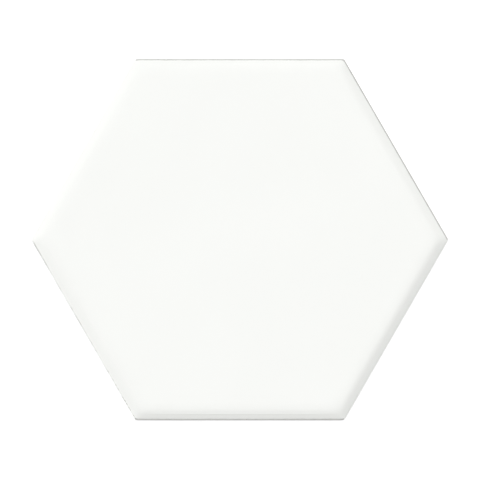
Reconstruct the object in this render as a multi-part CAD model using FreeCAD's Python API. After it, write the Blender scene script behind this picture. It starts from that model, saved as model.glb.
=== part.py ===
import FreeCAD, Part
import math
import os

# A hexagon floor tile: one dry-pressed porcelain body, glazed on its face and fired in one piece.
# It lies as it is laid, face up. Millimetres, with the origin under the middle of the tile on the
# plane that its back rests on: +Z up, +X through a corner, +Y through the middle of a side.

# Plan and body
SIDE_LENGTH = 100.0            # one side between the sharp corners: the tile is twice this across them
THICKNESS = 9.0                # back plane to the flat of the face
OUTER_CORNER_RADIUS = 1.5      # plan rounding of the six outer corners

# Cushioned edge of the face, from the flat field out to the wall
CUSHION_WIDTH = 6.4            # from the wall to where the face is flat
FLANK_WIDTH = 2.6              # outer part of the cushion, which falls straight
FLANK_SLOPE = 20.0             # degrees below level of that straight part
RIDGE_CORNER_RADIUS = 7.0      # plan rounding where field and flank would meet, softer than outside
RIM_RADIUS = 0.5               # where the glaze rolls over from the flank to the wall

# Wall, down from the rim
LAND_HEIGHT = 3.2              # upright band below the cushion that neighbours and spacers touch
FOOT_INSET = 0.25              # how far the drafted lower wall has drawn in when it meets the foot
FOOT_CHAMFER_WIDTH = 0.8       # bevelled arris of the back, seen in plan
FOOT_CHAMFER_HEIGHT = 0.8

# Honeycomb pressed into the back, which keys into the adhesive bed
LEAST_BORDER = 8.0             # unbroken band between the foot's arris and the outermost cells
CELL_PITCH = 16.0              # from one cell's middle to the next
RIB_WIDTH = 3.2                # crest between two cells, which rests on the floor
RELIEF_DEPTH = 0.9             # from the crests to the sunk floors of the cells
RELIEF_DRAFT = 35.0            # degrees from upright of the cells' walls, so that the punch lets go

SIDES = 6
HALF_TURN = math.radians(180.0 / SIDES)    # half the angle that one side spans at the middle
APOTHEM = SIDE_LENGTH * math.cos(HALF_TURN)
TOOL_MARGIN = 0.5                          # how far a cutting tool stands out of what it cuts


def hexagon(inset, corner_radius, height):
    """A level hexagon with rounded corners, each side moved in from the widest outline by inset."""
    centre_distance = (APOTHEM - inset - corner_radius) / math.cos(HALF_TURN)
    arcs = []
    for corner in range(SIDES):
        bearing = 2 * HALF_TURN * corner
        centre_x = centre_distance * math.cos(bearing)
        centre_y = centre_distance * math.sin(bearing)
        arcs.append([
            FreeCAD.Vector(centre_x + corner_radius * math.cos(bearing + turn),
                           centre_y + corner_radius * math.sin(bearing + turn), height)
            for turn in (-HALF_TURN, 0.0, HALF_TURN)])
    edges = []
    for arc, following in zip(arcs, arcs[1:] + arcs[:1]):
        edges.append(Part.Arc(*arc).toShape())
        edges.append(Part.LineSegment(arc[-1], following[0]).toShape())
    return Part.Wire(edges)


def stacked(sections):
    """A solid up through level outlines: flat along each side and ruled round each rounded corner."""
    faces = [Part.Face(sections[0]), Part.Face(sections[-1])]
    for lower, upper in zip(sections, sections[1:]):
        for low, high in zip(lower.Edges, upper.Edges):
            if isinstance(low.Curve, Part.Line):
                corners = [low.Vertexes[0].Point, low.Vertexes[1].Point,
                           high.Vertexes[1].Point, high.Vertexes[0].Point]
                faces.append(Part.Face(Part.makePolygon(corners + corners[:1])))
            else:
                faces.append(Part.makeRuledSurface(low, high))
    shell = Part.makeShell(faces)
    shell.sewShape()
    return Part.Solid(shell).removeSplitter()


def edges_at(shape, height):
    """The edges of a shape that lie level at one height."""
    return [edge for edge in shape.Edges
            if all(abs(vertex.Z - height) < 1e-6 for vertex in edge.Vertexes)]


def pressed_body():
    """The solid body: bevelled foot, drafted wall, upright land and the cushioned face."""
    slope = math.radians(FLANK_SLOPE)
    cushion_radius = (CUSHION_WIDTH - FLANK_WIDTH) / math.sin(slope)
    ridge_inset = CUSHION_WIDTH - cushion_radius * math.tan(slope / 2)
    arris_height = THICKNESS - ridge_inset * math.tan(slope)
    body = stacked([
        hexagon(FOOT_INSET + FOOT_CHAMFER_WIDTH, OUTER_CORNER_RADIUS, 0.0),
        hexagon(FOOT_INSET, OUTER_CORNER_RADIUS, FOOT_CHAMFER_HEIGHT),
        hexagon(0.0, OUTER_CORNER_RADIUS, arris_height - LAND_HEIGHT),
        hexagon(0.0, OUTER_CORNER_RADIUS, arris_height),
        hexagon(ridge_inset, RIDGE_CORNER_RADIUS, THICKNESS),
    ])
    body = body.makeFillet(cushion_radius, edges_at(body, THICKNESS))
    rim_radius = min(RIM_RADIUS, 0.9 * OUTER_CORNER_RADIUS)
    return body.makeFillet(rim_radius, edges_at(body, arris_height))


def cell_outline(apothem, height):
    """The level hexagon of a relief cell, turned so that its sides face the cells around it."""
    corner_distance = apothem / math.cos(HALF_TURN)
    corners = [FreeCAD.Vector(corner_distance * math.cos(HALF_TURN * (2 * corner + 1)),
                              corner_distance * math.sin(HALF_TURN * (2 * corner + 1)), height)
               for corner in range(SIDES)]
    return Part.makePolygon(corners + corners[:1])


def relief_cells():
    """The honeycomb of the back: as many whole rings of cells as the border leaves room for."""
    spread = math.tan(math.radians(RELIEF_DRAFT))
    mouth = (CELL_PITCH - RIB_WIDTH) / 2
    cell = stacked([
        cell_outline(mouth + TOOL_MARGIN * spread, -TOOL_MARGIN),
        cell_outline(mouth - RELIEF_DEPTH * spread, RELIEF_DEPTH),
    ])
    row_spacing = CELL_PITCH * math.cos(HALF_TURN)
    cell_reach = mouth / math.cos(HALF_TURN)
    room = APOTHEM - FOOT_INSET - FOOT_CHAMFER_WIDTH - LEAST_BORDER - cell_reach
    rings = math.floor(room / row_spacing)
    cells = []
    for row in range(-rings, rings + 1):
        in_row = 2 * rings + 1 - abs(row)
        for place in range(in_row):
            x = CELL_PITCH * (place - (in_row - 1) / 2)
            cells.append(cell.translated(FreeCAD.Vector(x, row_spacing * row, 0)))
    return cells


def hexagon_tile():
    """The whole tile, one solid."""
    return pressed_body().cut(relief_cells()).Solids[0]


os.makedirs("parts", exist_ok=True)
tile = hexagon_tile()
tile.exportStep("parts/hexagon_tile.step")
size = tile.optimalBoundingBox()
print(f"hexagon_tile {size.XLength:.2f} x {size.YLength:.2f} x {size.ZLength:.2f} mm, "
      f"{tile.Volume / 1000:.1f} cm3, {len(tile.Faces)} faces, valid {tile.isValid()}")
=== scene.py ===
"""Dresses a hexagon floor tile: dry-pressed porcelain under a satin white glaze, lying face up.

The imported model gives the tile's place and overall size, in metres. One detailed mesh stands for
it: the cushioned edge of the face, the rim that the glaze rolls over, the wall, the bevelled foot
and the honeycomb that is pressed into the back. Sizes are real ones, written in millimetres.
"""

import logging
import math
from dataclasses import dataclass, field
from enum import Enum, IntEnum
from typing import Any

import bmesh
import bpy
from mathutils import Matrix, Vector


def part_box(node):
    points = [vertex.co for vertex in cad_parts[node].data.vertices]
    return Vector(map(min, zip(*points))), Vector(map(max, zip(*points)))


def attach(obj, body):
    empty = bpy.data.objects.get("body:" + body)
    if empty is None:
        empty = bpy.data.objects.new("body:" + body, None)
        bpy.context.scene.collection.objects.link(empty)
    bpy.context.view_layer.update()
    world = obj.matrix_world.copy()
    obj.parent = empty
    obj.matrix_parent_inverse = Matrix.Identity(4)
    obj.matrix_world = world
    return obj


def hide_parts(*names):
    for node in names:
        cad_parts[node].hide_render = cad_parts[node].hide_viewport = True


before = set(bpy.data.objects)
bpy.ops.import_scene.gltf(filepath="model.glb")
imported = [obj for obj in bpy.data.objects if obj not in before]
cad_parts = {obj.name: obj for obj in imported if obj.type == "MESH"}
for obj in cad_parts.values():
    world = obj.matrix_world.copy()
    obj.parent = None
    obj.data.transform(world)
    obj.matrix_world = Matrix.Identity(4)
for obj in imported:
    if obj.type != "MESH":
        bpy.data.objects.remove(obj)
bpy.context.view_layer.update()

MM = 0.001
SIDES = 6
HALF_TURN = math.pi / SIDES      # half the angle that one side spans at the middle
TILE_NODE = "hexagon_tile"
PURE_WHITE = "#FFFFFF"
FACTOR = 0                       # a mix node's inputs go by number, since several share a name
NUMBER_A, NUMBER_B = 2, 3
COLOUR_A, COLOUR_B = 6, 7
MIXED_COLOUR = 2                 # its output for colours

Ring = list[bmesh.types.BMVert]
Section = list[tuple[float, float]]      # (inset from the outline, height) pairs

log = logging.getLogger("hexagon_tile")


def linear(hex_colour: str) -> tuple[float, float, float, float]:
    """Turns a written sRGB colour into the linear one that shaders take.

    Args:
        hex_colour: the colour as "#RRGGBB".

    Returns:
        Linear red, green and blue with an alpha of one.
    """
    channels = [int(hex_colour[place:place + 2], 16) / 255 for place in (1, 3, 5)]
    curved = [c / 12.92 if c <= 0.04045 else ((c + 0.055) / 1.055) ** 2.4 for c in channels]
    return (*curved, 1.0)


def add_node(tree: bpy.types.NodeTree, kind: str, sockets: dict[str | int, Any] | None = None,
             **settings: Any) -> bpy.types.Node:
    """Adds a shader node, sets it up and wires it.

    Args:
        tree: the node tree that gets the node.
        kind: the node's type name.
        sockets: for each input, by name or number, its value, or the output that is linked to it. A
            node stands for its first output.
        **settings: values of the node's own properties.

    Returns:
        The new node.
    """
    node = tree.nodes.new(kind)
    for name, value in settings.items():
        setattr(node, name, value)
    for name, value in (sockets or {}).items():
        if isinstance(value, bpy.types.Node):
            value = value.outputs[0]
        if isinstance(value, bpy.types.NodeSocket):
            tree.links.new(value, node.inputs[name])
        else:
            node.inputs[name].default_value = value
    return node


def new_material(name: str) -> tuple[bpy.types.Material, bpy.types.NodeTree]:
    """Makes an empty node material.

    Args:
        name: the material's name.

    Returns:
        The material and its node tree, with no node in it.
    """
    material = bpy.data.materials.new(name)
    material.use_nodes = True
    material.node_tree.nodes.clear()
    return material, material.node_tree


class Side(IntEnum):
    """The tile's sides, counterclockwise, each numbered as the corner that it leaves.

    Corner 0 lies on +X.
    """

    BACK_RIGHT = 0
    BACK = 1
    BACK_LEFT = 2
    FRONT_LEFT = 3
    FRONT = 4
    FRONT_RIGHT = 5


class Coat(Enum):
    """How well the glaze covers the rim along a side, as its cover along the middle of the rim. Where the
    coat falls short, the grey body left open is partly bare body and partly a painted dark shade line along
    that edge.
    """

    FULL = 1.0       # rolled right over
    THIN = 0.57      # so thin that the body shows here and there, in dashes of painted dark shade line
    BARE = -0.4      # drawn back, with a hairline of grey body left open: partly bare body, partly a painted dark shade line


@dataclass(frozen=True)
class Bend:
    """A corner of a section: how far in from the outline, how high, and how it is rounded."""

    inset: float
    height: float
    radius: float = 0.0
    steps: int = 0


@dataclass(frozen=True)
class Station:
    """Where round an outline a point lies."""

    before: Side         # the side that leads to the last corner
    after: Side          # the side that leaves it
    turned: float        # share of that corner's arc that is passed
    passed: float        # share of the side after it that is passed


@dataclass(frozen=True)
class Outline:
    """A level hexagon with rounded corners, as seen in plan.

    The first corner lies at the angle turn from +X. Every ring drawn from outlines with the same
    steps has as many points in the same order, so that two rings can be joined by a band of quads.
    """

    apothem: float
    corner_radius: float
    turn: float = 0.0
    centre: tuple[float, float] = (0.0, 0.0)
    side_steps: int = 16
    corner_steps: int = 8

    def stations(self) -> list[Station]:
        """Tells where round the outline each point of a ring lies.

        Returns:
            One station for each point, in the order of the points.
        """
        stations = []
        for side in Side:
            before = Side((side - 1) % SIDES)
            stations.extend(Station(before, side, step / self.corner_steps, 0.0)
                            for step in range(self.corner_steps + 1))
            stations.extend(Station(before, side, 1.0, step / self.side_steps)
                            for step in range(1, self.side_steps))
        return stations

    def points(self, height: float) -> list[Vector]:
        """Walks the outline counterclockwise.

        Args:
            height: the level of the ring.

        Returns:
            The ring's points, from the first corner's arc on.
        """
        reach = (self.apothem - self.corner_radius) / math.cos(HALF_TURN)
        arcs = []
        for corner in range(SIDES):
            bearing = self.turn + 2 * HALF_TURN * corner
            hub = Vector((self.centre[0] + reach * math.cos(bearing),
                          self.centre[1] + reach * math.sin(bearing), height))
            angles = [bearing + HALF_TURN * (2 * step / self.corner_steps - 1)
                      for step in range(self.corner_steps + 1)]
            arcs.append([hub + self.corner_radius * Vector((math.cos(a), math.sin(a), 0.0))
                         for a in angles])
        ring = []
        for arc, following in zip(arcs, arcs[1:] + arcs[:1]):
            ring.extend(arc)
            ring.extend(arc[-1].lerp(following[0], step / self.side_steps)
                        for step in range(1, self.side_steps))
        return ring


def eased(bends: list[Bend], hold: float) -> Section:
    """Rounds the corners of a section.

    A point just outside each end of a rounding keeps the flats beside it flat when they are shaded.

    Args:
        bends: the section's corners in order, the first and last of them unrounded.
        hold: how far outside a rounding those points lie.

    Returns:
        The rounded section.
    """
    section = [(bends[0].inset, bends[0].height)]
    for before, bend, after in zip(bends, bends[1:], bends[2:]):
        here = Vector((bend.inset, bend.height))
        back = (Vector((before.inset, before.height)) - here).normalized()
        ahead = (Vector((after.inset, after.height)) - here).normalized()
        if not bend.radius:
            section.append(tuple(here))
            continue
        half_opening = back.angle(ahead) / 2
        run = bend.radius / math.tan(half_opening)
        hub = here + (back + ahead).normalized() * bend.radius / math.sin(half_opening)
        start, end = here + back * run - hub, here + ahead * run - hub
        section.append(tuple(here + back * (run + hold)))
        for step in range(bend.steps + 1):
            section.append(tuple(hub + start.slerp(end, step / bend.steps) * bend.radius))
        section.append(tuple(here + ahead * (run + hold)))
    section.append((bends[-1].inset, bends[-1].height))
    return section


class TileMesh:
    """A mesh under construction: level rings of points, and bands of faces between them."""

    COVER = "glaze_cover"    # how much glaze a point carries: 1 for a full coat, 0 or less for none

    def __init__(self) -> None:
        """Starts an empty mesh."""
        self.mesh = bmesh.new()
        self.cover = self.mesh.verts.layers.float.new(self.COVER)

    def ring(self, outline: Outline, height: float) -> Ring:
        """Lays one ring of points, with no glaze on them."""
        return [self.mesh.verts.new(point) for point in outline.points(height)]

    def band(self, rings: list[Ring]) -> None:
        """Skins rings one to the next.

        Args:
            rings: the rings, in the order in which they are joined.
        """
        for lower, upper in zip(rings, rings[1:]):
            for place in range(len(lower)):
                self.mesh.faces.new((lower[place - 1], lower[place], upper[place], upper[place - 1]))

    def cap(self, ring: Ring) -> None:
        """Closes a ring with one flat face."""
        self.mesh.faces.new(ring)

    def web(self, rings: list[Ring]) -> None:
        """Fills the flat ground between an outer ring and the rings that lie inside it.

        Args:
            rings: all of those rings.
        """
        edges = [self.mesh.edges.get((ring[place - 1], ring[place]))
                 for ring in rings for place in range(len(ring))]
        bmesh.ops.triangle_fill(self.mesh, use_beauty=True, edges=edges)

    def finished(self, name: str) -> bpy.types.Object:
        """Turns the mesh into a smooth-shaded object.

        Args:
            name: the object's name.

        Returns:
            The object, linked to the scene.
        """
        bmesh.ops.recalc_face_normals(self.mesh, faces=self.mesh.faces)
        for face in self.mesh.faces:
            face.smooth = True
        data = bpy.data.meshes.new(name)
        self.mesh.to_mesh(data)
        self.mesh.free()
        piece = bpy.data.objects.new(name, data)
        bpy.context.scene.collection.objects.link(piece)
        return piece


@dataclass
class CushionedFace:
    """The glazed face: a flat field whose edge falls away like the edge of a cushion."""

    flank_slope: float = math.radians(20.0)
    flank_width: float = 2.6 * MM        # outer part, which falls straight
    flank_hold: float = 0.12 * MM        # a ring this far before the flank's end keeps it flat
    bend_width: float = 5.5 * MM         # from the wall to where only the faint shoulder is left
    bend_steps: int = 12
    shoulder_width: float = 8.2 * MM     # from the wall to where the face is flat
    shoulder_slope: float = math.radians(4.0)
    shoulder_steps: int = 6
    corner_growth: float = 1.0           # gain in plan radius for each unit moved in from the edge
    rim_radius: float = 0.5 * MM         # where the glaze rolls over to the wall
    rim_steps: int = 8
    bare_width: float = 0.45 * MM        # from the wall to where a glaze that drew back starts; this hairline is also a painted dark shade line
    fade_width: float = 0.4 * MM         # over which it thickens from there
    # Sides whose coat falls short get a grey hairline at the rim, partly bare body and partly a painted
    # dark shade line along those edges.
    coats: dict[Side, Coat] = field(default_factory=lambda: {
        Side.BACK_RIGHT: Coat.BARE,
        Side.BACK: Coat.BARE,
        Side.BACK_LEFT: Coat.FULL,
        Side.FRONT_LEFT: Coat.THIN,
        Side.FRONT: Coat.BARE,
        Side.FRONT_RIGHT: Coat.FULL,
    })

    @property
    def bend_radius(self) -> float:
        """Radius of the bend between the flank and the shoulder."""
        rise = math.sin(self.flank_slope) - math.sin(self.shoulder_slope)
        return (self.bend_width - self.flank_width) / rise

    @property
    def shoulder_radius(self) -> float:
        """Radius of the faint bend that ends in the flat field."""
        return (self.shoulder_width - self.bend_width) / math.sin(self.shoulder_slope)

    @property
    def drop(self) -> float:
        """Works out how far the flank's line, drawn out to the wall, lies below the field.

        Returns:
            The drop at the wall.
        """
        flank = self.flank_width * math.tan(self.flank_slope)
        bend = self.bend_radius * (math.cos(self.shoulder_slope) - math.cos(self.flank_slope))
        return flank + bend + self.shoulder_radius * (1 - math.cos(self.shoulder_slope))

    def bends(self, arris_height: float) -> list[Bend]:
        """Works out the rim and the straight flank, with a ring at each end of the glaze's fade.

        Args:
            arris_height: where the flank's line would meet the wall.

        Returns:
            The section's corners from the rim to the flank's upper end.
        """
        stops = (self.bare_width, self.bare_width + self.fade_width, self.flank_width - self.flank_hold,
                 self.flank_width)
        return [
            Bend(0.0, arris_height - self.rim_radius),
            Bend(0.0, arris_height, self.rim_radius, self.rim_steps),
            *(Bend(inset, arris_height + inset * math.tan(self.flank_slope)) for inset in stops),
        ]

    def cushion(self, top: float) -> Section:
        """Works out the cushion above its straight flank.

        Args:
            top: the height of the field.

        Returns:
            The section from the flank's upper end to the edge of the field.
        """
        points = []
        for step in range(1, self.bend_steps + 1):
            slope = self.flank_slope + (self.shoulder_slope - self.flank_slope) * step / self.bend_steps
            inset = self.bend_width - self.bend_radius * (math.sin(slope) - math.sin(self.shoulder_slope))
            fall = self.bend_radius * (math.cos(self.shoulder_slope) - math.cos(slope))
            points.append((inset, top - self.shoulder_radius * (1 - math.cos(self.shoulder_slope)) - fall))
        for step in range(1, self.shoulder_steps + 1):
            slope = self.shoulder_slope * (1 - step / self.shoulder_steps)
            points.append((self.shoulder_width - self.shoulder_radius * math.sin(slope),
                           top - self.shoulder_radius * (1 - math.cos(slope))))
        return points

    def openness(self, inset: float, fall: float) -> float:
        """Tells how far a drawn-back glaze leaves a place open, which paints the rim's dark shade line.

        Args:
            inset: how far in from the wall the place is.
            fall: how far below the rim it is.

        Returns:
            0 where the coat is whole, up to 1 along the middle of the hairline.
        """
        inside = (self.bare_width + self.fade_width - inset) / self.fade_width
        outside = (self.rim_radius - fall) / self.fade_width
        return max(0.0, min(1.0, inside, outside))

    def cover(self, station: Station, openness: float) -> float:
        """Works out how much glaze a place carries, with one coat running into the next at a corner.

        Args:
            station: where round the tile the place is.
            openness: how far a drawn-back glaze would leave it open.

        Returns:
            The glaze's cover.
        """
        before, after = self.coats[station.before].value, self.coats[station.after].value
        thinnest = before + (after - before) * station.turned
        return 1.0 - openness * (1.0 - thinnest)


@dataclass
class PressSeam:
    """A faint seam along one side of the face, left by the punch where the flank ends.

    The rings of the bend are close enough together to carry it.
    """

    side: Side = Side.FRONT
    rise_width: float = 0.47 * MM        # from the end of the flank to the seam's crest
    fall_width: float = 0.48 * MM
    height: float = 0.1 * MM
    run_out: float = 0.07                # share of the side over which it dies away at each end

    def lift(self, station: Station, beyond: float) -> float:
        """Works out the seam's height.

        Args:
            station: where round the tile the place is.
            beyond: how far past the end of the flank it is, towards the field.

        Returns:
            How far the place is raised.
        """
        if station.after is not self.side:
            return 0.0
        across = min(beyond / self.rise_width,
                     (self.rise_width + self.fall_width - beyond) / self.fall_width)
        along = min(station.passed, 1.0 - station.passed) / self.run_out
        return self.height * max(0.0, min(1.0, across)) * min(1.0, along)


@dataclass
class PressedWall:
    """The body's wall: an upright land under the rim, a drafted part, and the bevelled foot."""

    corner_radius: float = 1.5 * MM
    land_height: float = 3.2 * MM
    land_radius: float = 1.5 * MM        # softens the line between land and draft
    foot_inset: float = 0.25 * MM
    chamfer_width: float = 0.8 * MM
    chamfer_height: float = 0.8 * MM
    chamfer_radius: float = 0.2 * MM     # wear of the punch has rounded both edges of the bevel
    back_margin: float = 0.4 * MM        # from the bevel to the ring that ends the wall's section
    round_steps: int = 3

    @property
    def back_inset(self) -> float:
        """How far in from the outline the flat of the back starts."""
        return self.foot_inset + self.chamfer_width

    def bends(self, arris_height: float) -> list[Bend]:
        """Works out the wall.

        Args:
            arris_height: where the face's flank would meet the wall.

        Returns:
            The section's corners from the plane of the back up to the land.
        """
        return [
            Bend(self.back_inset + self.back_margin, 0.0),
            Bend(self.back_inset, 0.0, self.chamfer_radius, self.round_steps),
            Bend(self.foot_inset, self.chamfer_height, self.chamfer_radius, self.round_steps),
            Bend(0.0, arris_height - self.land_height, self.land_radius, self.round_steps),
        ]


@dataclass
class HoneycombBack:
    """Shallow cells pressed into the back, which key into the adhesive bed."""

    least_border: float = 8.0 * MM
    pitch: float = 16.0 * MM
    rib_width: float = 3.2 * MM
    depth: float = 0.9 * MM
    draft: float = math.radians(35.0)
    mouth_radius: float = 0.25 * MM
    root_radius: float = 0.45 * MM
    corner_radius: float = 1.1 * MM
    mouth_margin: float = 0.5 * MM       # from the mouth out to the ring that ends a cell's section
    floor_margin: float = 1.35 * MM      # from the root in to the ring that the flat floor closes
    round_steps: int = 3
    corner_steps: int = 4

    @property
    def mouth(self) -> float:
        """Apothem of a cell's mouth."""
        return (self.pitch - self.rib_width) / 2

    def centres(self, room: float) -> list[tuple[float, float]]:
        """Places the cells in whole rings round the middle one.

        Args:
            room: distance from the tile's middle to the edge of its back, square to a side.

        Returns:
            The cells' middles in plan.
        """
        row_spacing = self.pitch * math.cos(HALF_TURN)
        rings = math.floor((room - self.least_border - self.mouth / math.cos(HALF_TURN)) / row_spacing)
        places = []
        for row in range(-rings, rings + 1):
            in_row = 2 * rings + 1 - abs(row)
            places.extend((self.pitch * (place - (in_row - 1) / 2), row_spacing * row)
                          for place in range(in_row))
        return places

    def press(self, tile: TileMesh, centre: tuple[float, float], hold: float) -> Ring:
        """Presses one cell.

        Args:
            tile: the mesh that gets the cell.
            centre: the cell's middle in plan.
            hold: from a rounding to the ring that keeps its flat flat.

        Returns:
            The ring round its mouth, in the plane of the back.
        """
        run = self.depth * math.tan(self.draft)
        section = eased([
            Bend(-self.mouth_margin, 0.0),
            Bend(0.0, 0.0, self.mouth_radius, self.round_steps),
            Bend(run, self.depth, self.root_radius, self.round_steps),
            Bend(run + self.floor_margin, self.depth),
        ], hold)
        rings = [tile.ring(Outline(self.mouth - inset, self.corner_radius, turn=HALF_TURN, centre=centre,
                                   side_steps=1, corner_steps=self.corner_steps), height)
                 for inset, height in section]
        tile.band(rings)
        tile.cap(rings[-1])
        return rings[0]


@dataclass(frozen=True)
class Pattern:
    """A soft random pattern, as one noise draws it."""

    size: float          # mm from one patch to the next
    octaves: float       # how many finer copies of itself it carries

    def at(self, place: bpy.types.Node) -> dict[str, Any]:
        """Gives the inputs of the noise that draws the pattern, for add_node.

        Args:
            place: the point on the tile, in millimetres.

        Returns:
            The value or link of each input, by its name.
        """
        return {"Vector": place, "Scale": 1 / self.size, "Detail": self.octaves}


@dataclass(frozen=True)
class SatinGlaze:
    """An opaque white satin glaze, sprayed on and fired to the body.

    It gives the eye an even, faintly warm white with a broad soft sheen and no mirror image.
    """

    colour: str = "#F4F5F2"
    thin_colour: str = "#E6E6E3"         # where it runs thin and the body shows through: at the wall's glaze line, and at the rim as part of the painted dark shade line
    thin_up_to: float = 0.55             # coat up to which that colour holds
    ior: float = 1.5
    roughness: float = 0.5
    roughness_drift: float = 0.012       # most by which its gloss wanders from place to place
    drift: Pattern = Pattern(size=45.0, octaves=2.0)
    drift_from: float = 0.3              # levels of that pattern between which the gloss changes
    drift_to: float = 0.7
    peel: Pattern = Pattern(size=2.4, octaves=1.0)      # crests of the faint orange peel
    peel_height: float = 0.003           # mm
    thickness: float = 0.06              # mm, seen where the coat ends


@dataclass(frozen=True)
class PressedBiscuit:
    """Dry-pressed porcelain stoneware, fired bare.

    It gives the eye a dull stony light grey with a fine grain, rare mineral specks, and a dusting
    of white kiln wash on whatever touched the kiln's rollers.
    """

    colour: str = "#CFCFCC"
    deep_colour: str = "#C6C5C2"         # cloudy second tone
    clouds: Pattern = Pattern(size=14.0, octaves=4.0)
    roughness: float = 0.85
    grain: Pattern = Pattern(size=0.5, octaves=4.0)     # real grains, near 0.1 mm, would not show
    grain_height: float = 0.02           # mm
    speck_colour: str = "#96928B"
    speck_spacing: float = 3.2           # mm
    speck_radius: float = 0.22           # mm, out to where the speck has faded
    speck_core: float = 0.4              # share of the radius over which its colour is full
    wash_colour: str = "#E3E2DE"
    wash: Pattern = Pattern(size=3.5, octaves=5.0)      # measured across its streaks
    wash_stretch: float = 5.0            # times as long along the kiln's rollers
    wash_from: float = 0.3               # level of that pattern at which the wash starts to show
    wash_to: float = 0.75                # level at which it hides the body
    wash_depth: float = 0.25             # mm above the rollers that it reaches


@dataclass(frozen=True)
class GlazeEdge:
    """Where the sprayed glaze ends: a wavy line on the wall, and a torn edge where it left the rim, which
    also paints a dark shade line along the rim.
    """

    height: float = 4.3                  # mm above the floor
    wave_height: float = 1.1             # mm that the line strays up or down from there at the most
    lobes: Pattern = Pattern(size=9.0, octaves=3.0)
    sharpness: float = 0.12              # mm to each side of the line over which the coat thins out
    mist_depth: float = 2.2              # mm below the line that fine drops still reach
    drops: Pattern = Pattern(size=0.45, octaves=0.0)
    rare_drops: float = 0.85             # level of that pattern that makes a drop at the mist's foot
    many_drops: float = 0.5              # level that makes one right under the line
    drop_rise: float = 4.0               # how steeply the coat thickens from a drop's edge
    flecks: Pattern = Pattern(size=0.9, octaves=1.0)    # tears in a coat that is thin
    narrows: Pattern = Pattern(size=5.0, octaves=2.0)   # where the hairline at the rim, a painted dark shade line, narrows
    torn_up_to: float = 0.4              # cover at which the body is bare
    whole_from: float = 0.6              # cover at which the coat is whole


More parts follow.
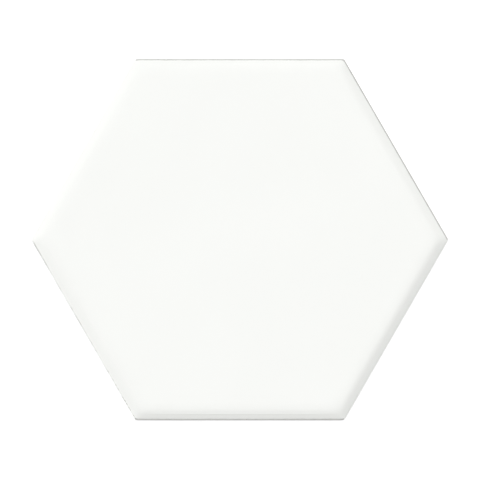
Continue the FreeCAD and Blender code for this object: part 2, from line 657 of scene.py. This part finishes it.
@dataclass(frozen=True)
class GlazedPorcelain:
    """The tile's one material: biscuit throughout, and glaze wherever the coat reached.

    In its methods a place is a point on the tile and a level its height, both in millimetres.
    """

    glaze: SatinGlaze = SatinGlaze()
    biscuit: PressedBiscuit = PressedBiscuit()
    edge: GlazeEdge = GlazeEdge()

    def coat_on_wall(self, tree: bpy.types.NodeTree, place: bpy.types.Node,
                     level: bpy.types.NodeSocket) -> bpy.types.Node:
        """Works out how far down the wall the spray reached, with a mist of drops below its line.

        Args:
            tree: the material's node tree.
            place: the point on the tile.
            level: its height.

        Returns:
            The coat, from 0 for bare biscuit to 1.
        """
        edge = self.edge
        lobes = add_node(tree, "ShaderNodeTexNoise", edge.lobes.at(place))
        line = add_node(tree, "ShaderNodeMath", {
            0: lobes, 1: 2 * edge.wave_height, 2: edge.height - edge.wave_height}, operation="MULTIPLY_ADD")
        above = add_node(tree, "ShaderNodeMath", {0: level, 1: line}, operation="SUBTRACT")
        poured = add_node(tree, "ShaderNodeMapRange", {
            "Value": above, "From Min": -edge.sharpness, "From Max": edge.sharpness},
            interpolation_type="SMOOTHSTEP")
        drops = add_node(tree, "ShaderNodeTexNoise", edge.drops.at(place))
        drop_level = add_node(tree, "ShaderNodeMapRange", {
            "Value": above, "From Min": -edge.mist_depth, "From Max": 0.0,
            "To Min": edge.rare_drops, "To Max": edge.many_drops}, interpolation_type="SMOOTHSTEP")
        mist = add_node(tree, "ShaderNodeMapRange", {
            "Value": drops, "From Min": drop_level, "To Max": edge.drop_rise},
            interpolation_type="SMOOTHSTEP")
        fading = add_node(tree, "ShaderNodeMapRange", {
            "Value": above, "From Min": -edge.mist_depth, "From Max": 0.0},
            interpolation_type="SMOOTHSTEP")
        misted = add_node(tree, "ShaderNodeMath", {0: mist, 1: fading}, operation="MINIMUM")
        return add_node(tree, "ShaderNodeMath", {0: poured, 1: misted}, operation="MAXIMUM")

    def coat_on_rim(self, tree: bpy.types.NodeTree, place: bpy.types.Node) -> bpy.types.Node:
        """Tears the coat into flecks where the mesh says that it is neither whole nor gone, so that the
        grey body shows as a broken painted dark shade line at the rim.

        Args:
            tree: the material's node tree.
            place: the point on the tile.

        Returns:
            The coat, from 0 for bare biscuit to 1.
        """
        edge = self.edge
        cover = add_node(tree, "ShaderNodeAttribute", attribute_name=TileMesh.COVER).outputs["Fac"]
        flecks = add_node(tree, "ShaderNodeTexNoise", edge.flecks.at(place))
        narrows = add_node(tree, "ShaderNodeTexNoise", edge.narrows.at(place))
        both = add_node(tree, "ShaderNodeMath", {0: flecks, 1: narrows}, operation="ADD")
        # The two come to one on average, so that the swing takes as much coat away as it gives.
        swing = add_node(tree, "ShaderNodeMath", {0: both, 1: 1.0}, operation="SUBTRACT")
        lacking = add_node(tree, "ShaderNodeMath", {0: 1.0, 1: cover}, operation="SUBTRACT")
        doubt = add_node(tree, "ShaderNodeMath", {0: cover, 1: lacking}, operation="MULTIPLY")
        # Doubt peaks at a quarter, where half is covered. Four times that lets in the whole swing.
        share = add_node(tree, "ShaderNodeMath", {0: doubt, 1: 4.0}, operation="MULTIPLY")
        swayed = add_node(tree, "ShaderNodeMath", {0: swing, 1: share}, operation="MULTIPLY")
        torn = add_node(tree, "ShaderNodeMath", {0: cover, 1: swayed}, operation="ADD")
        return add_node(tree, "ShaderNodeMapRange", {
            "Value": torn, "From Min": edge.torn_up_to, "From Max": edge.whole_from},
            interpolation_type="SMOOTHSTEP")

    def stone_colour(self, tree: bpy.types.NodeTree, place: bpy.types.Node,
                     level: bpy.types.NodeSocket) -> bpy.types.NodeSocket:
        """Colours the bare body: two cloudy tones, specks, and streaks of wash near the rollers.

        Args:
            tree: the material's node tree.
            place: the point on the tile.
            level: its height.

        Returns:
            The colour.
        """
        biscuit = self.biscuit
        clouds = add_node(tree, "ShaderNodeTexNoise", biscuit.clouds.at(place))
        body = add_node(tree, "ShaderNodeMix", {
            FACTOR: clouds, COLOUR_A: linear(biscuit.colour), COLOUR_B: linear(biscuit.deep_colour)},
            data_type="RGBA").outputs[MIXED_COLOUR]
        scatter = add_node(tree, "ShaderNodeTexVoronoi", {
            "Vector": place, "Scale": 1 / biscuit.speck_spacing})
        reach = biscuit.speck_radius / biscuit.speck_spacing
        speck = add_node(tree, "ShaderNodeMapRange", {
            "Value": scatter.outputs["Distance"], "From Min": biscuit.speck_core * reach,
            "From Max": reach, "To Min": 1.0, "To Max": 0.0}, interpolation_type="SMOOTHSTEP")
        speckled = add_node(tree, "ShaderNodeMix", {
            FACTOR: speck, COLOUR_A: body, COLOUR_B: linear(biscuit.speck_colour)},
            data_type="RGBA").outputs[MIXED_COLOUR]
        near_rollers = add_node(tree, "ShaderNodeMapRange", {
            "Value": level, "From Max": biscuit.wash_depth, "To Min": 1.0, "To Max": 0.0},
            interpolation_type="SMOOTHSTEP")
        drawn_out = add_node(tree, "ShaderNodeVectorMath", {
            0: place, 1: (1 / biscuit.wash_stretch, 1.0, 1.0)}, operation="MULTIPLY")
        streaks = add_node(tree, "ShaderNodeTexNoise", biscuit.wash.at(drawn_out))
        dusted = add_node(tree, "ShaderNodeMapRange", {
            "Value": streaks, "From Min": biscuit.wash_from, "From Max": biscuit.wash_to},
            interpolation_type="SMOOTHSTEP")
        wash = add_node(tree, "ShaderNodeMath", {0: near_rollers, 1: dusted}, operation="MULTIPLY")
        return add_node(tree, "ShaderNodeMix", {
            FACTOR: wash, COLOUR_A: speckled, COLOUR_B: linear(biscuit.wash_colour)},
            data_type="RGBA").outputs[MIXED_COLOUR]

    def glaze_colour(self, tree: bpy.types.NodeTree, coat: bpy.types.Node) -> bpy.types.NodeSocket:
        """Colours the glaze, which is greyer where it is thin.

        Args:
            tree: the material's node tree.
            coat: how much glaze the place carries.

        Returns:
            The colour.
        """
        fullness = add_node(tree, "ShaderNodeMapRange", {
            "Value": coat, "From Min": self.glaze.thin_up_to}, interpolation_type="SMOOTHSTEP")
        return add_node(tree, "ShaderNodeMix", {
            FACTOR: fullness, COLOUR_A: linear(self.glaze.thin_colour),
            COLOUR_B: linear(self.glaze.colour)}, data_type="RGBA").outputs[MIXED_COLOUR]

    def roughness(self, tree: bpy.types.NodeTree, place: bpy.types.Node,
                  coat: bpy.types.Node) -> bpy.types.Node:
        """Gives the glaze a gloss that drifts a little, and the body its dullness.

        Args:
            tree: the material's node tree.
            place: the point on the tile.
            coat: how much glaze it carries.

        Returns:
            The roughness.
        """
        glaze = self.glaze
        drift = add_node(tree, "ShaderNodeTexNoise", glaze.drift.at(place))
        satin = add_node(tree, "ShaderNodeMapRange", {
            "Value": drift, "From Min": glaze.drift_from, "From Max": glaze.drift_to,
            "To Min": glaze.roughness - glaze.roughness_drift,
            "To Max": glaze.roughness + glaze.roughness_drift}, interpolation_type="SMOOTHSTEP")
        return add_node(tree, "ShaderNodeMix", {
            FACTOR: coat, NUMBER_A: self.biscuit.roughness, NUMBER_B: satin}, data_type="FLOAT")

    def relief(self, tree: bpy.types.NodeTree, place: bpy.types.Node,
               coat: bpy.types.Node) -> bpy.types.Node:
        """Lays orange peel on the glaze and grain on the body, with a step where the glaze ends.

        Args:
            tree: the material's node tree.
            place: the point on the tile.
            coat: how much glaze it carries.

        Returns:
            The surface direction, tilted by that relief.
        """
        glaze, biscuit = self.glaze, self.biscuit
        crests = add_node(tree, "ShaderNodeTexNoise", glaze.peel.at(place))
        peel = add_node(tree, "ShaderNodeMath", {
            0: crests, 1: glaze.peel_height, 2: glaze.thickness}, operation="MULTIPLY_ADD")
        grains = add_node(tree, "ShaderNodeTexNoise", biscuit.grain.at(place))
        grain = add_node(tree, "ShaderNodeMath", {0: grains, 1: biscuit.grain_height}, operation="MULTIPLY")
        height = add_node(tree, "ShaderNodeMix", {
            FACTOR: coat, NUMBER_A: grain, NUMBER_B: peel}, data_type="FLOAT")
        # The distance turns a height in millimetres to metres.
        return add_node(tree, "ShaderNodeBump", {"Height": height, "Distance": MM})

    def make(self) -> bpy.types.Material:
        """Builds the material.

        Returns:
            The material, ready to be given to the tile.
        """
        material, tree = new_material("satin_glaze_on_dry_pressed_porcelain")
        where = add_node(tree, "ShaderNodeTexCoord").outputs["Object"]
        place = add_node(tree, "ShaderNodeVectorMath", {0: where, "Scale": 1 / MM}, operation="SCALE")
        level = add_node(tree, "ShaderNodeSeparateXYZ", {0: place}).outputs["Z"]
        coat = add_node(tree, "ShaderNodeMath", {
            0: self.coat_on_wall(tree, place, level), 1: self.coat_on_rim(tree, place)},
            operation="MULTIPLY")
        colour = add_node(tree, "ShaderNodeMix", {
            FACTOR: coat, COLOUR_A: self.stone_colour(tree, place, level),
            COLOUR_B: self.glaze_colour(tree, coat)}, data_type="RGBA").outputs[MIXED_COLOUR]
        shader = add_node(tree, "ShaderNodeBsdfPrincipled", {
            "Base Color": colour, "Roughness": self.roughness(tree, place, coat),
            "Normal": self.relief(tree, place, coat), "IOR": self.glaze.ior})
        add_node(tree, "ShaderNodeOutputMaterial", {"Surface": shader})
        return material


@dataclass
class HexagonTile:
    """The whole tile, one pressed and fired piece."""

    face: CushionedFace = field(default_factory=CushionedFace)
    seam: PressSeam = field(default_factory=PressSeam)
    wall: PressedWall = field(default_factory=PressedWall)
    back: HoneycombBack = field(default_factory=HoneycombBack)
    finish: GlazedPorcelain = field(default_factory=GlazedPorcelain)
    field_margin: float = 1.0 * MM       # from the edge of the flat field to the last ring
    hold: float = 0.06 * MM              # from a rounding to the ring that keeps its flat flat

    def __post_init__(self) -> None:
        """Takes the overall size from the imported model."""
        low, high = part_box(TILE_NODE)
        self.base = low.z
        self.top = high.z
        self.apothem = high.y
        self.arris_height = self.top - self.face.drop

    def section(self) -> Section:
        """Works out the section of the body.

        Returns:
            The section from the plane of the back, up the wall and over the cushion to the field.
        """
        bends = self.wall.bends(self.arris_height) + self.face.bends(self.arris_height)
        field_ring = (self.face.shoulder_width + self.field_margin, self.top)
        return eased(bends, self.hold) + self.face.cushion(self.top) + [field_ring]

    def lay(self, tile: TileMesh, inset: float, height: float) -> Ring:
        """Lays one ring of the body, with its coat of glaze and its part of the seam.

        Args:
            tile: the mesh that gets the ring.
            inset: how far in from the widest outline the ring lies.
            height: its level above the back.

        Returns:
            The ring.
        """
        on_face = height > self.arris_height - self.face.rim_radius
        growth = self.face.corner_growth * inset if on_face else 0.0
        outline = Outline(self.apothem - inset, self.wall.corner_radius + growth)
        openness = self.face.openness(inset, self.arris_height - height)
        ring = tile.ring(outline, self.base + height)
        for vertex, station in zip(ring, outline.stations()):
            vertex[tile.cover] = self.face.cover(station, openness)
            vertex.co.z += self.seam.lift(station, inset - self.face.flank_width)
        return ring

    def shape(self) -> bpy.types.Object:
        """Builds the tile's mesh.

        Returns:
            The tile, undressed.
        """
        tile = TileMesh()
        rings = [self.lay(tile, inset, height) for inset, height in self.section()]
        tile.band(rings)
        tile.cap(rings[-1])
        centres = self.back.centres(self.apothem - self.wall.back_inset)
        mouths = [self.back.press(tile, centre, self.hold) for centre in centres]
        tile.web([rings[0]] + mouths)
        return tile.finished("glazed_hexagon_tile")

    def build(self) -> bpy.types.Object:
        """Builds the tile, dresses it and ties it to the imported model.

        Returns:
            The tile.
        """
        piece = self.shape()
        piece.data.materials.append(self.finish.make())
        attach(piece, "root")
        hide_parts(TILE_NODE)
        return piece


def seen_by_camera(tree: bpy.types.NodeTree) -> bpy.types.Node:
    """Tells the rays that show something, straight, mirrored or through glass, from those that light.

    Args:
        tree: the node tree that needs to know.

    Returns:
        1 for a ray that shows something, and 0 for one that lights.
    """
    ray = add_node(tree, "ShaderNodeLightPath").outputs
    mirrored = add_node(tree, "ShaderNodeMath", {
        0: ray["Is Glossy Ray"], 1: ray["Is Transmission Ray"]}, operation="MAXIMUM")
    return add_node(tree, "ShaderNodeMath", {0: ray["Is Camera Ray"], 1: mirrored}, operation="MAXIMUM")


@dataclass(frozen=True)
class MattPaper:
    """Matt white paper, calendered but not coated.

    It gives the eye an even white that takes a soft shadow and mirrors nothing.
    """

    colour: str = "#E8E8E8"
    glow: float = 0.48               # what it shows of itself, so that it reads as white

    def make(self) -> bpy.types.Material:
        """Builds the material.

        Returns:
            The material, ready to be given to the sheet.
        """
        material, tree = new_material("matt_white_paper")
        dull = add_node(tree, "ShaderNodeBsdfDiffuse", {"Color": linear(self.colour)})
        strength = add_node(tree, "ShaderNodeMath", {
            0: seen_by_camera(tree), 1: self.glow}, operation="MULTIPLY")
        glow = add_node(tree, "ShaderNodeEmission", {"Color": linear(PURE_WHITE), "Strength": strength})
        both = add_node(tree, "ShaderNodeAddShader", {0: dull, 1: glow})
        add_node(tree, "ShaderNodeOutputMaterial", {"Surface": both})
        return material


@dataclass(frozen=True)
class Softbox:
    """A large soft lamp, so far off that it lights the whole table evenly."""

    name: str
    bearing: float           # degrees from +X
    zenith: float            # degrees down from straight above
    strength: float          # brightness of a white card that squarely faces it
    spread: float            # degrees that it measures across, seen from the tile
    distance: float = 2.0    # metres from the tile to where it is drawn, which changes no light

    def hang(self) -> bpy.types.Object:
        """Hangs the lamp.

        Returns:
            The lamp, linked to the scene.
        """
        lamp = bpy.data.lights.new(self.name, "SUN")
        lamp.angle = math.radians(self.spread)
        lamp.energy = self.strength * math.pi
        softbox = bpy.data.objects.new(self.name, lamp)
        bearing, zenith = math.radians(self.bearing), math.radians(self.zenith)
        direction = Vector((math.sin(zenith) * math.cos(bearing), math.sin(zenith) * math.sin(bearing),
                            math.cos(zenith)))
        softbox.location = direction * self.distance
        softbox.rotation_euler = direction.to_track_quat("Z", "Y").to_euler()
        bpy.context.scene.collection.objects.link(softbox)
        return softbox


@dataclass
class Studio:
    """A plain white table under soft lamps, with the camera straight above it."""

    lamps: tuple[Softbox, ...] = (
        Softbox("left_softbox", bearing=180.0, zenith=60.0, strength=0.552, spread=60.0),
        Softbox("back_softbox", bearing=60.0, zenith=60.0, strength=0.407, spread=60.0),
        Softbox("right_softbox", bearing=30.0, zenith=60.0, strength=0.054, spread=60.0),
        Softbox("overhead_softbox", bearing=45.0, zenith=4.0, strength=0.462, spread=24.0),
    )
    paper: MattPaper = MattPaper()
    paper_radius: float = 700.0 * MM
    paper_sides: int = 96
    picture_width: float = 230.0 * MM
    picture_level: float = 7.4 * MM          # height at which the picture is that wide
    picture_middle: tuple[float, float] = (0.12 * MM, -0.2 * MM)
    lens: float = 200.0                      # mm, as the camera states it
    sensor: float = 36.0                     # mm across

    def mount_camera(self) -> bpy.types.Object:
        """Mounts the camera straight above the tile, with +Y up in the picture.

        Returns:
            The camera.
        """
        data = bpy.data.cameras.new("overhead_camera")
        data.lens = self.lens
        data.sensor_width = self.sensor
        camera = bpy.data.objects.new("overhead_camera", data)
        distance = self.picture_width * self.lens / self.sensor
        camera.location = (*self.picture_middle, self.picture_level + distance)
        bpy.context.scene.collection.objects.link(camera)
        bpy.context.scene.camera = camera
        return camera

    def surround(self) -> bpy.types.World:
        """Surrounds the table with white, which the camera sees but which lights nothing.

        Returns:
            The surround.
        """
        world = bpy.data.worlds.new("white_surround")
        world.use_nodes = True
        tree = world.node_tree
        tree.nodes.clear()
        white = add_node(tree, "ShaderNodeBackground", {
            "Color": linear(PURE_WHITE), "Strength": seen_by_camera(tree)})
        add_node(tree, "ShaderNodeOutputWorld", {"Surface": white})
        bpy.context.scene.world = world
        return world

    def lay_paper(self) -> bpy.types.Object:
        """Lays the round sheet of paper that the tile lies on.

        Returns:
            The sheet.
        """
        sheet = bmesh.new()
        bmesh.ops.create_circle(sheet, cap_ends=True, segments=self.paper_sides, radius=self.paper_radius)
        data = bpy.data.meshes.new("paper_sheet")
        sheet.to_mesh(data)
        sheet.free()
        data.materials.append(self.paper.make())
        paper = bpy.data.objects.new("paper_sheet", data)
        bpy.context.scene.collection.objects.link(paper)
        return paper

    def build(self) -> list[bpy.types.ID]:
        """Sets up the camera, the surround, the table and the lamps.

        Returns:
            All of them, in that order.
        """
        bpy.context.scene.view_settings.view_transform = "Standard"
        pieces = [self.mount_camera(), self.surround(), self.lay_paper()]
        return pieces + [lamp.hang() for lamp in self.lamps]


def main() -> None:
    """Builds the studio and the tile."""
    logging.basicConfig(level=logging.INFO, format="%(name)s: %(message)s")
    for piece in Studio().build():
        log.info("%s is in place", piece.name)
    tile = HexagonTile().build()
    log.info("%s is in place, with %d faces", tile.name, len(tile.data.polygons))


if __name__ == "__main__":
    main()
